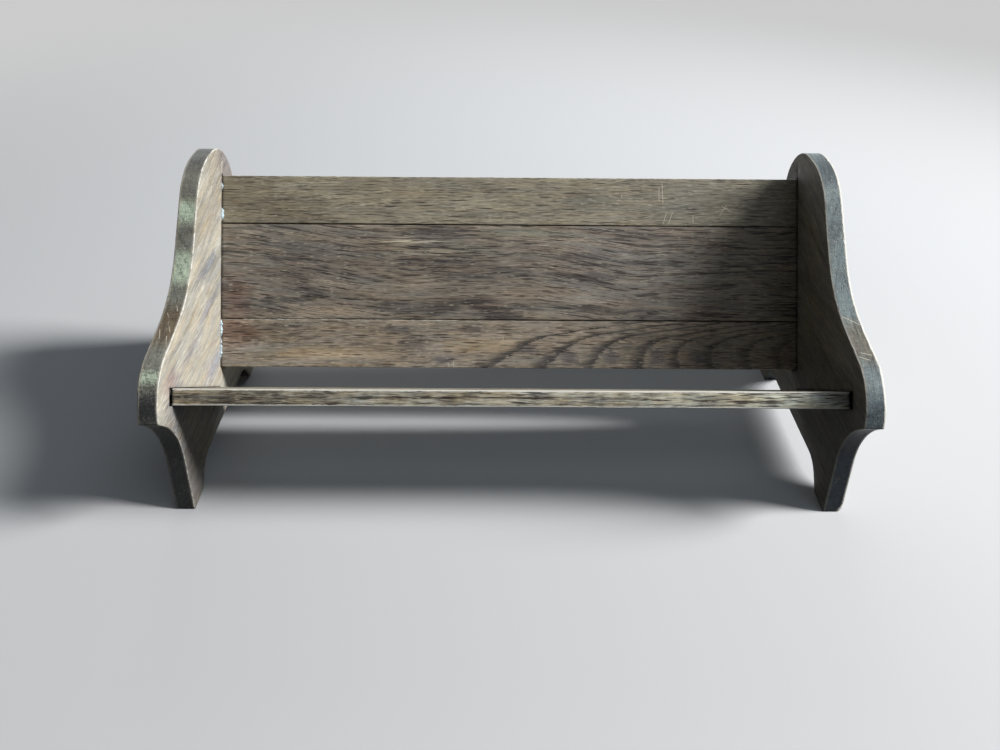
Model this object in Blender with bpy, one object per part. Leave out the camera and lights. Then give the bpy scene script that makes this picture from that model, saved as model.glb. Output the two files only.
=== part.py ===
"""A small free-standing oak book trough.

Two shaped ends carry a sloping shelf and a leaning back of three boards, all four of them
let into stopped housings in the ends. The shelf's housing runs on a little ahead of it, and
its front corners are cut back to the ends' faces. Shelf and back stand at a right angle to
each other, so that a row of books lies in the V between them. Metres, +X to the right, +Y to
the back, +Z up, and the origin on the ground under the middle of the trough.

The side view is drawn in the plane of Y and Z. Its points are written as (y, z), with y
counted from the upper front arris of the shelf. An empty, the setting-out point, carries
every piece and moves the whole to the middle.
"""
from math import atan2, cos, pi, radians, sin, tan

import bmesh
import bpy
from mathutils import Matrix, Vector

# The trough between its ends
INNER_WIDTH = 0.4310
LEAN = radians(37.7)
SHELF_HEIGHT = 0.0907
SHELF_DEPTH = 0.0875
SHELF_THICKNESS = 0.0110
BACK_THICKNESS = 0.0110
OUTER_BOARD_WIDTH = 0.0357
MIDDLE_BOARD_WIDTH = 0.0708
LOWER_SLOT = 0.0153

# The ends, round the shelf and the back
END_THICKNESS = 0.0130
NOSE_AHEAD = 0.0286
NOSE_BELOW = 0.0062
NOSE_OVERHANG = 0.0098
ARM_ABOVE = 0.0211
CREST_CLEAR = 0.0410
TOP_ABOVE = 0.0214
BACK_BEHIND = 0.0219
FRONT_FOOT_LENGTH = 0.0187
REAR_FOOT_LENGTH = 0.0570
ARCH_HEIGHT = 0.0160

# Slopes of the straight stretches of the outline, counted from straight back
FOOT_SLOPE = radians(79.5)
UNDERCUT_SLOPE = radians(135.0)
NOSE_SLOPE = radians(67.5)
ARM_SLOPE = radians(10.5)
CREST_SLOPE = radians(41.5)
ARCH_FRONT_SLOPE = radians(46.0)
ARCH_REAR_SLOPE = radians(118.0)

# Radii of the round stretches between them
COVE_RADIUS = 0.0450
NOSE_TIP_RADIUS = 0.0015
NOSE_RADIUS = 0.0430
WAIST_RADIUS = 0.1050
CREST_RADIUS = 0.0560
TOP_RADIUS = 0.0300
ARCH_FRONT_RADIUS = 0.0240
ARCH_REAR_RADIUS = 0.0140
ARC_STEP = radians(3.0)

# Joints and worn edges
HOUSING_DEPTH = 0.0050
FIT = 0.0003
SHELF_HOUSING_RUN_ON = 0.0034
CORNER_CUT_LENGTH = 0.0100
ARRIS = 0.0006
ARRIS_SEGMENTS = 3
ARRIS_LIMIT = radians(30.0)
CUT_OVERRUN = 0.0020

OAK_END = (0.235, 0.170, 0.100)
OAK_BACK = (0.165, 0.125, 0.080)
OAK_SHELF = (0.210, 0.165, 0.105)

# Directions in the side view: along the shelf to the back, and up the back boards
ALONG_SHELF = Vector((cos(LEAN), -sin(LEAN)))
UP_BACK = Vector((sin(LEAN), cos(LEAN)))
SHELF_TILT = -LEAN
BACK_TILT = pi / 2 - LEAN

# The upper face of the shelf, from its front arris to its rear one
SHELF_FRONT = Vector((0.0, SHELF_HEIGHT))
SHELF_REAR = SHELF_FRONT + SHELF_DEPTH * ALONG_SHELF

# The front face of the back, from its lower arris to its upper one
BACK_START = SHELF_REAR + LOWER_SLOT * UP_BACK
BACK_WIDTH = 2 * OUTER_BOARD_WIDTH + MIDDLE_BOARD_WIDTH + 2 * FIT
BACK_END = BACK_START + BACK_WIDTH * UP_BACK


def clear_scene():
    for thing in list(bpy.data.objects):
        bpy.data.objects.remove(thing, do_unlink=True)


def oak(name, colour):
    material = bpy.data.materials.new(name)
    material.use_nodes = True
    shader = material.node_tree.nodes["Principled BSDF"]
    shader.inputs["Base Color"].default_value = (*colour, 1.0)
    shader.inputs["Roughness"].default_value = 0.55
    shader.inputs["Metallic"].default_value = 0.0
    return material


def crossing(start, slope, other_start, other_slope):
    """The point where two lines of the side view cross."""
    direction = Vector((cos(slope), sin(slope)))
    other = Vector((cos(other_slope), sin(other_slope)))
    reach = (other_start - start).cross(other) / direction.cross(other)
    return start + reach * direction


def end_corners():
    """The corners of an end's outline, each with the radius that rounds it.

    They run from the toe up over the nose, the arm and the crest, down the back edge,
    and along the rear foot and the arch to the front foot.
    """
    nose_tip = SHELF_FRONT + Vector((-NOSE_AHEAD, -NOSE_BELOW))
    toe = Vector((nose_tip.x + NOSE_OVERHANG, 0.0))
    cove = crossing(toe, FOOT_SLOPE, nose_tip, UNDERCUT_SLOPE)
    over_shelf = SHELF_FRONT + Vector((0.0, ARM_ABOVE))
    nose_top = crossing(nose_tip, NOSE_SLOPE, over_shelf, ARM_SLOPE)
    over_back = BACK_END + CREST_CLEAR * Vector((-sin(CREST_SLOPE), cos(CREST_SLOPE)))
    waist = crossing(over_shelf, ARM_SLOPE, over_back, CREST_SLOPE)
    top = BACK_END + Vector((BACK_BEHIND, TOP_ABOVE))
    crest = crossing(over_back, CREST_SLOPE, top, 0.0)
    heel = Vector((top.x, 0.0))
    arch_rear = heel - Vector((REAR_FOOT_LENGTH, 0.0))
    arch_front = toe + Vector((FRONT_FOOT_LENGTH, 0.0))
    arch_level = Vector((0.0, ARCH_HEIGHT))
    arch_rear_top = crossing(arch_rear, ARCH_REAR_SLOPE, arch_level, 0.0)
    arch_front_top = crossing(arch_front, ARCH_FRONT_SLOPE, arch_level, 0.0)
    return [
        (toe, 0.0),
        (cove, COVE_RADIUS),
        (nose_tip, NOSE_TIP_RADIUS),
        (nose_top, NOSE_RADIUS),
        (waist, WAIST_RADIUS),
        (crest, CREST_RADIUS),
        (top, TOP_RADIUS),
        (heel, 0.0),
        (arch_rear, 0.0),
        (arch_rear_top, ARCH_REAR_RADIUS),
        (arch_front_top, ARCH_FRONT_RADIUS),
        (arch_front, 0.0),
    ]


def rounded(corners):
    """The outline's points, with an arc at each corner that has a radius.

    Where two arcs need more than the side between them, both get smaller.
    """
    count = len(corners)
    points = [point for point, radius in corners]
    sides = [points[(i + 1) % count] - points[i] for i in range(count)]
    turns = [atan2(sides[i - 1].cross(sides[i]), sides[i - 1].dot(sides[i])) for i in range(count)]
    reaches = [corners[i][1] * tan(abs(turns[i]) / 2) for i in range(count)]
    needs = [reaches[i] + reaches[(i + 1) % count] for i in range(count)]
    shares = [min(1.0, side.length / need) if need else 1.0 for side, need in zip(sides, needs)]
    outline = []
    for i, (corner, radius) in enumerate(corners):
        if radius == 0:
            outline.append(corner)
            continue
        share = min(shares[i - 1], shares[i])
        arriving = sides[i - 1].normalized()
        to_centre = Vector((-arriving.y, arriving.x)) * (1 if turns[i] > 0 else -1)
        start = corner - share * reaches[i] * arriving
        centre = start + share * radius * to_centre
        steps = max(2, round(abs(turns[i]) / ARC_STEP))
        for step in range(steps + 1):
            outline.append(centre + Matrix.Rotation(turns[i] * step / steps, 2) @ (start - centre))
    return outline


def setting_out_point(outline):
    """The empty that every piece hangs from, placed so that the whole is centred."""
    point = bpy.data.objects.new("setting_out_point", None)
    low = min(corner.x for corner in outline)
    high = max(corner.x for corner in outline)
    point.location.y = -(low + high) / 2
    bpy.context.scene.collection.objects.link(point)
    return point


def drawn_out(name, outline, length):
    """A closed solid: an outline of the side view, drawn out along X from zero."""
    mesh = bpy.data.meshes.new(name)
    body = bmesh.new()
    face = body.faces.new([body.verts.new((0.0, corner.x, corner.y)) for corner in outline])
    drawn = bmesh.ops.extrude_face_region(body, geom=[face])
    moved = [item for item in drawn["geom"] if isinstance(item, bmesh.types.BMVert)]
    bmesh.ops.translate(body, verts=moved, vec=(length, 0.0, 0.0))
    bmesh.ops.recalc_face_normals(body, faces=body.faces)
    body.to_mesh(mesh)
    body.free()
    piece = bpy.data.objects.new(name, mesh)
    bpy.context.scene.collection.objects.link(piece)
    return piece


def lath(name, length, width, thickness):
    """A plain length of board: its width runs along +Y, and its thickness down from Z zero."""
    section = [
        Vector((0.0, 0.0)),
        Vector((width, 0.0)),
        Vector((width, -thickness)),
        Vector((0.0, -thickness)),
    ]
    return drawn_out(name, section, length)


def place(piece, parent, x, corner, tilt):
    piece.parent = parent
    piece.location = (x, corner.x, corner.y)
    piece.rotation_euler.x = tilt


def ease_arrises(piece):
    bevel = piece.modifiers.new("worn arrises", "BEVEL")
    bevel.width = ARRIS
    bevel.segments = ARRIS_SEGMENTS
    bevel.limit_method = "ANGLE"
    bevel.angle_limit = ARRIS_LIMIT


def give_finish(piece, material):
    piece.data.materials.append(material)
    piece.data.shade_smooth()
    piece.data.set_sharp_from_angle(angle=ARRIS_LIMIT)


def cut_away(piece, cutter):
    cutter.hide_render = True
    cutter.display_type = "WIRE"
    cut = piece.modifiers.new("cut", "BOOLEAN")
    cut.operation = "DIFFERENCE"
    cut.solver = "EXACT"
    cut.object = cutter


def cut_housing(end, parent, inner_x, corner, tilt, width, thickness):
    """Cut a stopped housing, with room on every side, for a board that meets this end."""
    depth = HOUSING_DEPTH + CUT_OVERRUN
    cutter = lath(end.name + "_cutter", depth, width + 2 * FIT, thickness + 2 * FIT)
    room = Matrix.Rotation(tilt, 2) @ Vector((-FIT, FIT))
    low_x = inner_x - CUT_OVERRUN if inner_x > 0 else inner_x - HOUSING_DEPTH
    place(cutter, parent, low_x, corner + room, tilt)
    cut_away(end, cutter)


def cut_front_corner(shelf, parent, side):
    """Cut the shelf's front corner back, so that its front edge stops at the end's face."""
    depth = HOUSING_DEPTH + CUT_OVERRUN
    width = CORNER_CUT_LENGTH + CUT_OVERRUN
    cutter = lath(shelf.name + "_cutter", depth, width, SHELF_THICKNESS + 2 * CUT_OVERRUN)
    room = Matrix.Rotation(SHELF_TILT, 2) @ Vector((-CUT_OVERRUN, CUT_OVERRUN))
    shoulder = INNER_WIDTH / 2 - FIT
    low_x = shoulder if side > 0 else -shoulder - depth
    place(cutter, parent, low_x, SHELF_FRONT + room, SHELF_TILT)
    cut_away(shelf, cutter)


def make_end(name, side, outline, parent, material):
    """One shaped end: side is -1 on the left and 1 on the right."""
    end = drawn_out(name, outline, END_THICKNESS)
    inner_x = side * INNER_WIDTH / 2
    outward_room = 0.0 if side > 0 else -END_THICKNESS
    place(end, parent, inner_x + outward_room, Vector((0.0, 0.0)), 0.0)
    ease_arrises(end)
    shelf_start = SHELF_FRONT - SHELF_HOUSING_RUN_ON * ALONG_SHELF
    shelf_run = SHELF_HOUSING_RUN_ON + SHELF_DEPTH
    cut_housing(end, parent, inner_x, shelf_start, SHELF_TILT, shelf_run, SHELF_THICKNESS)
    cut_housing(end, parent, inner_x, BACK_START, BACK_TILT, BACK_WIDTH, BACK_THICKNESS)
    give_finish(end, material)
    return end


def make_board(name, corner, tilt, width, thickness, parent, material):
    """A board between the ends, let into a housing at each of them."""
    length = INNER_WIDTH + 2 * (HOUSING_DEPTH - FIT)
    board = lath(name, length, width, thickness)
    place(board, parent, -length / 2, corner, tilt)
    ease_arrises(board)
    give_finish(board, material)
    return board


def make_shelf(parent, material):
    shelf = make_board(
        "shelf_board", SHELF_FRONT, SHELF_TILT, SHELF_DEPTH, SHELF_THICKNESS, parent, material
    )
    for side in (-1, 1):
        cut_front_corner(shelf, parent, side)


def make_back(parent, material):
    """The three boards of the back, edge to edge from the lowest up."""
    boards = (
        ("back_lower_board", OUTER_BOARD_WIDTH),
        ("back_middle_board", MIDDLE_BOARD_WIDTH),
        ("back_top_board", OUTER_BOARD_WIDTH),
    )
    corner = BACK_START
    for name, width in boards:
        make_board(name, corner, BACK_TILT, width, BACK_THICKNESS, parent, material)
        corner = corner + (width + FIT) * UP_BACK


def main():
    clear_scene()
    outline = rounded(end_corners())
    parent = setting_out_point(outline)
    end_oak = oak("end_oak", OAK_END)
    make_end("left_end", -1, outline, parent, end_oak)
    make_end("right_end", 1, outline, parent, end_oak)
    make_shelf(parent, oak("shelf_oak", OAK_SHELF))
    make_back(parent, oak("back_oak", OAK_BACK))


main()
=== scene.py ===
"""The looks of an old oak book trough: two shaped ends, a shelf and a back of three boards.

Every piece is built again round its solid as a finer mesh: the same board, with arrises worn
by hand, nicks and a surface that isn't quite flat. The oak is a solid texture. It knows where
the tree's heart lay from each board, so rings, pores and rays run through from face to edge.
Lengths are metres, but the wood's own texture is drawn in millimetres.
"""

from dataclasses import dataclass, field
from math import atan2, cos, pi, radians, sin

import bmesh
import bpy
import numpy as np
from mathutils import Matrix, Vector, geometry, noise


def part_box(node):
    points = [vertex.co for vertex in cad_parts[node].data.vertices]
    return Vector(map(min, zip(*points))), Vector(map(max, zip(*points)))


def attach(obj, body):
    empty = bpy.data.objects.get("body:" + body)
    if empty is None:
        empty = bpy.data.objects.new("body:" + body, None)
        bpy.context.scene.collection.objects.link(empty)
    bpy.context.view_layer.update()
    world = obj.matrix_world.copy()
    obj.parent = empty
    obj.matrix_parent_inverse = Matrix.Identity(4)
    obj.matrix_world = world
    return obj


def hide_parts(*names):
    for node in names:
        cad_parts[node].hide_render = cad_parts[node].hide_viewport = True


MM = 0.001
IMAGE_WIDTH = 1000

# The camera, worked out from the photograph's straight edges
FOCAL_PIXELS = 780
SENSOR_WIDTH = 36.0
CAMERA_PLACE = (-0.0113, -0.4677, 0.3994)
CAMERA_DOWN = radians(37.40)
CAMERA_TURN = radians(0.52)
CAMERA_ROLL = radians(0.63)

# Light: a tall window on the right, and weak soft lights from above and ahead and from behind.
# Sizes are across and up.
LIGHT_AIM = (0.0, 0.0, 0.09)
KEY_DIRECTION = (0.80, 0.025, 0.53)
KEY_DISTANCE = 4.00
KEY_SIZE = (1.08, 2.30)
KEY_POWER = 372.0
KEY_COLOUR = (0.975, 0.985, 1.0)
FILL_DIRECTION = (0.42, -0.38, 0.82)
FILL_DISTANCE = 1.60
FILL_SIZE = (1.40, 1.40)
FILL_POWER = 3.4
FILL_COLOUR = (0.84, 0.92, 1.0)
REAR_DIRECTION = (0.0, 0.95, 0.30)
REAR_DISTANCE = 2.20
REAR_SIZE = (2.0, 1.2)
REAR_POWER = 20.0
SKY_COLOUR = (0.70, 0.83, 1.0)
SKY_STRENGTH = 0.022
BACKDROP_GREY = 0.60
FLOOR_REACH = 6.0
FLOOR_SIDES = 64
FLOOR_GREY = 0.48
FLOOR_BOUNCE = 0.05
FLOOR_FADES_FROM = 0.5
FLOOR_FADES_TO = 1.5

# Mesh spacing and the wear of the arrises
WELD = 0.00001
SAME_PLACE = 1e-7
STRAIGHT = radians(0.5)
STATION_SPACING = 0.0020
FACE_SPACING = 0.0055
FACE_MARGINS = (0.0028, 0.0050)
OUTLINE_SPACING = 0.0020
ARRIS_RADIUS = 0.00055
ARRIS_POINTS = 4
ARRIS_DRIFT = 0.045
DRIFT_SHARE = 0.6
NICK_LENGTH = 0.0050
NICK_DEPTH = 0.0015
NICK_SHARE = 0.28
HAND_WAVE_LENGTH = 0.035
HAND_WAVE_DEPTH = 0.00008
SMOOTH_ANGLE = radians(35.0)
BOARD_EDGE_SHARES = (0.3, 0.5, 0.7)
EDGE_SHARES = (0.16, 0.32, 0.5, 0.68, 0.84)

# The rings of points inside an end's outline, each as a share of the arris's radius and a
# reach beyond it, and how far the points keep from the outline and the hollows
END_RINGS = ((0.12, 0.0), (0.35, 0.0), (0.65, 0.0), (1.0, 0.0), (1.0, 0.0012), (1.0, 0.0032))
RING_KEPT = 0.93
GRID_MARGIN = 0.0060
HOLLOW_MARGIN = 0.0004

# Joints, as they are in the solids, and their softened lips
HOUSING_DEPTH = 0.0050
FIT = 0.0003
HOUSING_LIP = 0.0003
CORNER_CUT_LENGTH = 0.0100
SEAM_SHARPNESS = 2.7
FAR = 99.0

# The line scored on each end's face above the back's housing
SCORE_START = 0.0008
SCORE_LENGTH = 0.0095
SCORE_WIDTH = 0.0004
SCORE_DEPTH = 0.0004

# Dried glue at the left joint
GLUE_STEP = 0.0004
GLUE_LUMP = 0.0022
GLUE_SIDES = 10
GLUE_HEIGHT = 0.8
GLUE_WIDTH = 1.3
GLUE_SEED = 3.0


def opaque(colour):
    return tuple(colour) + (1.0,)


def srgb(red, green, blue):
    """A colour given as 0 to 255 values, as the linear colour that shaders take."""
    shares = [value / 255 for value in (red, green, blue)]
    return opaque(s / 12.92 if s <= 0.04045 else ((s + 0.055) / 1.055) ** 2.4 for s in shares)


@dataclass
class Cloud:
    """A pattern of noise: its size along, across and into the grain in millimetres, a number
    that sets it apart from the others, and how rough it is."""

    sizes: tuple
    number: int
    detail: float = 2.0
    roughness: float = 0.5


@dataclass
class Plank:
    """How one board was sawn from the tree, and how it has aged. Lengths in millimetres.

    The heart lies heart_across from the board's middle line and heart_behind its face. Bends
    are (from, to, rise of the grain), and eyes are (along, across, long, wide, rise of the rings).
    A board with swept_rings has them cut its lower edge at these places along, and sweep away
    above. The tones are its colours from dark to pale. Stains are (along, across, long, wide,
    tint), and scratches (from, to), in the board's own axes: along, across and out of its face.
    Some stains' tints are not stains but a painted sheen, painted light, painted shade and a
    painted shadow.
    """

    seed: float
    heart_across: float
    heart_behind: float
    ring: float = 3.0
    waviness: float = 5.0
    jitter: float = 6.0
    band: float = 0.35
    contrast: float = 0.5
    faded: float = 0.2
    fading: tuple = (38.0, 9.0, 9.0)
    fineness: float = 1.0
    flow: float = 1.0
    patch_depth: float = 0.8
    front_patches: float = 0.0
    streak_depth: float = 0.5
    line_depth: float = 0.5
    hue: float = 1.0
    upper_rise: float = 0.0
    pore_depth: float = 0.8
    pore_share: float = 0.45
    fleck_share: float = 0.12
    ray_share: float = 0.1
    veil: float = 0.35
    joint_grime: float = 0.9
    grain_depth: float = 1.0
    edge_shade: float = 0.0
    # The edge's tint: the end grain's own darker tone, with painted sheen and reflection in it
    edge_tint_and_sheen: tuple = (1.0, 1.0, 1.0)
    # The pale band along the arrises: how strong, how far it reaches, and how much of it stays on
    # the side turned away from the window. Partly wear, partly a painted highlight.
    rubbed: float = 0.8
    rub_and_highlight_reach: float = 0.0
    shaded_side_rub: float = 1.0
    tones: tuple = ()
    bends: list = field(default_factory=list)
    eyes: list = field(default_factory=list)
    swept_rings: tuple = ()
    stains_and_painted_light: list = field(default_factory=list)
    edge_stains_and_painted_light: list = field(default_factory=list)
    scratches: list = field(default_factory=list)


# The wood's patterns, and its dashes as (length, width, number, how wide a dash is in its cell)
ROWS = Cloud((60.0, 0.8, 0.8), 2, 1.0)
WAVES = Cloud((150.0, 38.0, 38.0), 0)
RIPPLES = Cloud((26.0, 7.0, 7.0), 4)
RING_DRIFT = Cloud((9.0, 1.0, 1.0), 6, 1.0)
CLUSTERS = Cloud((34.0, 7.0, 7.0), 49, 3.0, 0.6)
FIBRES = Cloud((9.0, 0.7, 0.7), 8, 2.0, 0.6)
LINES = Cloud((18.0, 1.0, 1.0), 51)
SPECKLES = Cloud((5.0, 1.5, 1.5), 47, 3.0, 0.6)
STREAKS = Cloud((36.0, 3.0, 3.0), 13)
PATCHES = Cloud((48.0, 13.0, 13.0), 17, 3.0, 0.55)
FRONT_PATCHES = Cloud((11.0, 13.0, 13.0), 17, 3.0, 0.55)
RAYS = Cloud((6.0, 0.9, 10.0), 21)
MOTTLES = Cloud((1.1, 1.1, 6.0), 25, 3.0, 0.6)
VEILS = Cloud((50.0, 5.0, 5.0), 29)
WARMTHS = Cloud((30.0, 6.0, 6.0), 43, 3.0, 0.6)
GRIMES = Cloud((6.0, 5.0, 5.0), 31, 3.0, 0.6)
RUBS = Cloud((5.0, 3.0, 3.0), 37, 4.0, 0.65)
GLUE_CLOUDS = Cloud((1.5, 1.5, 1.5), 0, 3.0, 0.6)
FADING_NUMBER = 41
PORES = (22.0, 1.9, 0, 0.31)
FINE_PORES = (11.0, 1.15, 3, 0.34)
FLECKS = (5.0, 1.1, 45, 0.34)

# Where each pattern begins and ends to show. The front edge is the shelf's, and lengths are
# in millimetres.
FADED_AT = (0.40, 0.58)
EARLY_ENDS_AT = 0.95
EARLY_BEGINS_AT = (0.93, 1.0)
LINE_AT = (0.565, 0.64)
RAY_AT = (0.54, 0.72)
VEIL_AT = (0.42, 0.66)
GRIME_AT = (0.25, 0.60)
LEAST_GRIME = 0.45
JOINT_AT = (-0.3, 2.4)
STAIN_AT = (0.35, 1.15)
# The pale band along the arrises: partly wear, partly painted highlight
WORN_AND_HIGHLIGHT_AT = (0.95, 1.45)
FRONT_EDGE = (-43.0, -41.0)
# Where, across an end's thickness, the painted highlight on its arrises fades towards the side
# turned away from the window
SHADED_SIDE_AT = (-2.0, 2.0)
UPPER_PART = (0.0, 60.0)
SCRATCH_WIDTH = 0.42

# The lower board's swept rings: how far they lean above its edge and sweep away further up,
# and from and to where along the board they show
LOWER_SWEEP = (-26.0, 4.0)
UPPER_SWEEP = ((-17.9, 0.0), (-1.0, 0.5), (4.0, 9.0), (9.0, 33.0), (13.5, 62.0), (17.9, 93.0))
SWEEP_LEAN = (-0.31, 40.0)
SWEPT_FROM = (-80.0, -35.0)
SWEPT_TO = (100.0, 200.0, 1.0, 0.55)

# Colours, tones from dark to pale, and the tints that stains, painted light and painted shade
# multiply by
GREY_VEIL = srgb(112, 113, 108)
RING_COLOUR = srgb(62, 61, 63)
PORE_COLOUR = srgb(48, 42, 39)
FLECK_COLOUR = srgb(186, 178, 160)
GRIME_COLOUR = srgb(34, 30, 28)
# Pale arrises: worn wood, and a painted highlight on the arrises turned to the window
WORN_AND_HIGHLIGHT_COLOUR = srgb(200, 197, 187)
GLUE_COLOUR = srgb(176, 196, 204)

TOP_TONES = ((56, 49, 42), (86, 78, 67), (122, 113, 97), (150, 142, 122), (176, 168, 147))
BROWN_TONES = ((52, 44, 39), (80, 71, 63), (110, 100, 89), (137, 126, 111), (166, 155, 138))
TAN_TONES = ((58, 51, 46), (88, 79, 70), (121, 110, 96), (149, 137, 121), (176, 163, 145))
SHELF_TONES = ((40, 35, 32), (76, 69, 60), (124, 116, 100), (172, 163, 141), (204, 197, 178))
END_TONES = ((78, 72, 66), (112, 106, 97), (143, 137, 125), (170, 163, 148), (196, 190, 173))
# The right end's tones: a darker copy of the left end's, painted shade for the end in shade
SHADED_END_TONES = ((62, 57, 53), (90, 85, 79), (116, 111, 102), (140, 134, 123), (160, 154, 142))

DARK_GREY = (0.55, 0.56, 0.62)
SOFT_GREY = (0.80, 0.83, 0.88)
# Painted light: brightens the shelf towards the window
PAINTED_WINDOW_LIGHT = (1.22, 1.28, 1.32)
PALE_TAN = (1.25, 1.16, 1.00)
RED_BROWN = (0.88, 0.71, 0.68)
DULL = (0.80, 0.78, 0.76)
LAVENDER = (0.72, 0.74, 0.88)
DEEP_LAVENDER = (0.60, 0.64, 0.76)
COOL = (1.07, 1.11, 1.19)
CREST_SHADE = (0.50, 0.48, 0.54)
PINKISH = (1.02, 0.87, 0.82)
# Painted sheen: pale green reflections painted on the left end's edge
PAINTED_GREEN_SHEEN = (2.50, 2.90, 2.65)
PALE_GREEN = (1.10, 1.17, 1.10)
EYE_PALE = (2.05, 2.15, 2.12)
EYE_GREY = (1.40, 1.48, 1.50)
FAINT_TAN = (1.09, 1.05, 1.00)
FAINT_GREY = (0.84, 0.86, 0.90)
# Grey strokes in the grain, and painted shade on the top of the left end's edge
GREY_STROKES_AND_SHADE = (0.62, 0.62, 0.66)
BAND_CORE = (0.62, 0.64, 0.76)
EARTH = (0.80, 0.62, 0.50)
# Painted shade: darkens the fronts of the feet and the left end's nose
PAINTED_FOOT_SHADE = (0.28, 0.28, 0.34)
# Painted shadow: darkens the left end's foot on both faces, where the shelf's shadow falls
PAINTED_FOOT_SHADOW = (0.54, 0.54, 0.60)

FACE_DEPTH = 5.5


def on_face(*lines):
    """Scratches on a board's flat face, from (along, across, along, across)."""
    return [((x, y, FACE_DEPTH), (to_x, to_y, FACE_DEPTH)) for x, y, to_x, to_y in lines]


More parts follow.
